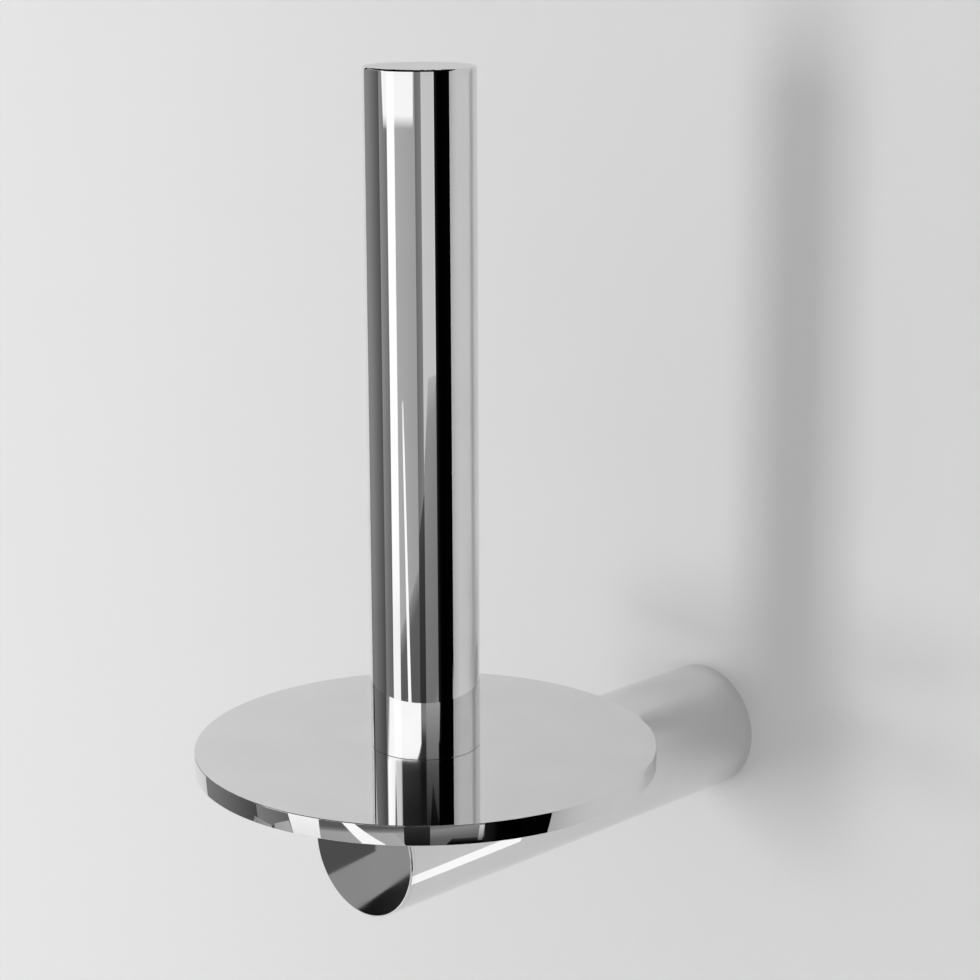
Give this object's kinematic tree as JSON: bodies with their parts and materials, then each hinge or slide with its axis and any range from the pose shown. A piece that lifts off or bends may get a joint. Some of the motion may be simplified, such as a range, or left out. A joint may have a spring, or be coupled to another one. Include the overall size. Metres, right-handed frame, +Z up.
{
  "type": "toilet roll holder",
  "caption": "Wall-mounted spare toilet roll holder: a round arm carries a round plate and an upright post, all polished chrome.",
  "frame": {"origin": "where the arm's axis meets the wall, on the back face of the wall bracket", "axes": "+Y into the wall, so the arm runs along -Y into the room; +Z up along the post; +X to the right of someone facing the wall"},
  "size_m": [0.1, 0.178, 0.1793],
  "materials": {
    "chrome": "mirror-polished chrome plate on brass",
    "raw_brass": "turned, unplated",
    "zinc_plated_steel": "bright zinc plate",
    "black_steel": "black oxide",
    "grey_nylon": "moulded nylon"
  },
  "bodies": {
    "root": {"arm_tube": "chrome", "arm_end_cap": "chrome", "roll_plate": "chrome", "post_tube": "chrome", "post_top_cap": "chrome", "seat_bush": "raw_brass", "post_foot_bush": "raw_brass", "post_stud": "zinc_plated_steel", "lock_washer": "zinc_plated_steel", "wall_bracket": "zinc_plated_steel", "wall_screw_upper": "zinc_plated_steel", "wall_screw_lower": "zinc_plated_steel", "arm_set_screw": "black_steel", "wall_plug_upper": "grey_nylon", "wall_plug_lower": "grey_nylon"}
  },
  "joints": []
}
